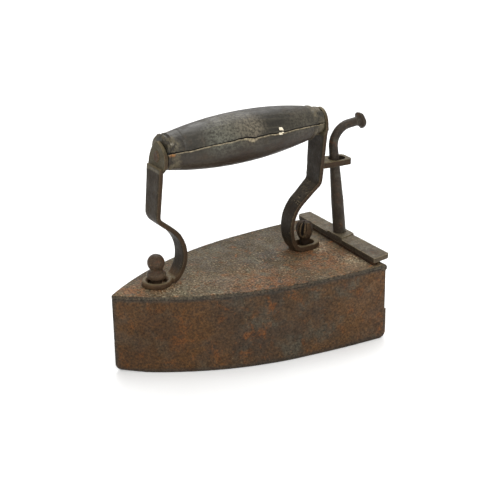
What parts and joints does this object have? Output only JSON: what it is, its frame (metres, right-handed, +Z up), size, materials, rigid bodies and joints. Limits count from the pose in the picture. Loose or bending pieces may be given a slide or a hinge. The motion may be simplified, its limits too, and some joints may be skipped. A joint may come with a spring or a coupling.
{
  "type": "box iron",
  "caption": "Old slug-heated clothes iron: hollow pointed iron body, rear gate lifted by a bent rod through a slotted eye, and a turned wooden grip on two forged uprights.",
  "frame": {"origin": "centre of the sole face, halfway between the rear end of the side wall and the toe, on the face the iron rests on", "axes": "+X towards the toe, +Y to the left of someone looking towards the toe, +Z up from the sole"},
  "size_m": [0.1794, 0.0928, 0.1492],
  "materials": {
    "rusty_iron": "dark reddish-brown rust with orange and grey patches",
    "worn_iron": "pitted grey-brown iron with orange specks, rubbed paler at the edges",
    "forged_iron": "smooth dark hammered iron with a dull sheen",
    "scaled_iron": "dull fire-scaled iron",
    "charred_wood": "worn black-brown turned wood with a lengthwise crack"
  },
  "bodies": {
    "iron_body": {"sole_plate": "rusty_iron", "slug_rests": "rusty_iron", "side_wall": "rusty_iron", "top_plate": "worn_iron", "left_gate_rail": "rusty_iron", "right_gate_rail": "rusty_iron", "left_gate_cleat": "rusty_iron", "right_gate_cleat": "rusty_iron", "cleat_rivets": "rusty_iron", "guide_eye": "forged_iron", "front_upright": "forged_iron", "rear_upright": "forged_iron", "grip": "charred_wood", "grip_core_rod": "forged_iron", "front_stud": "forged_iron", "rear_stud": "forged_iron", "front_stud_washer": "rusty_iron", "rear_stud_washer": "rusty_iron"},
    "gate": {"gate_plate": "rusty_iron", "gate_bar": "worn_iron", "gate_rod": "forged_iron", "gate_knob": "forged_iron"},
    "slug": {"heating_slug": "scaled_iron"}
  },
  "joints": [
    {"name": "gate_lift", "type": "slide", "parent": "iron_body", "child": "gate", "axis": [0, 0, 1], "range_m": [0, 0.028]},
    {"name": "slug_play", "type": "slide", "parent": "iron_body", "child": "slug", "axis": [1, 0, 0], "range_m": [0, 0.0065]}
  ]
}
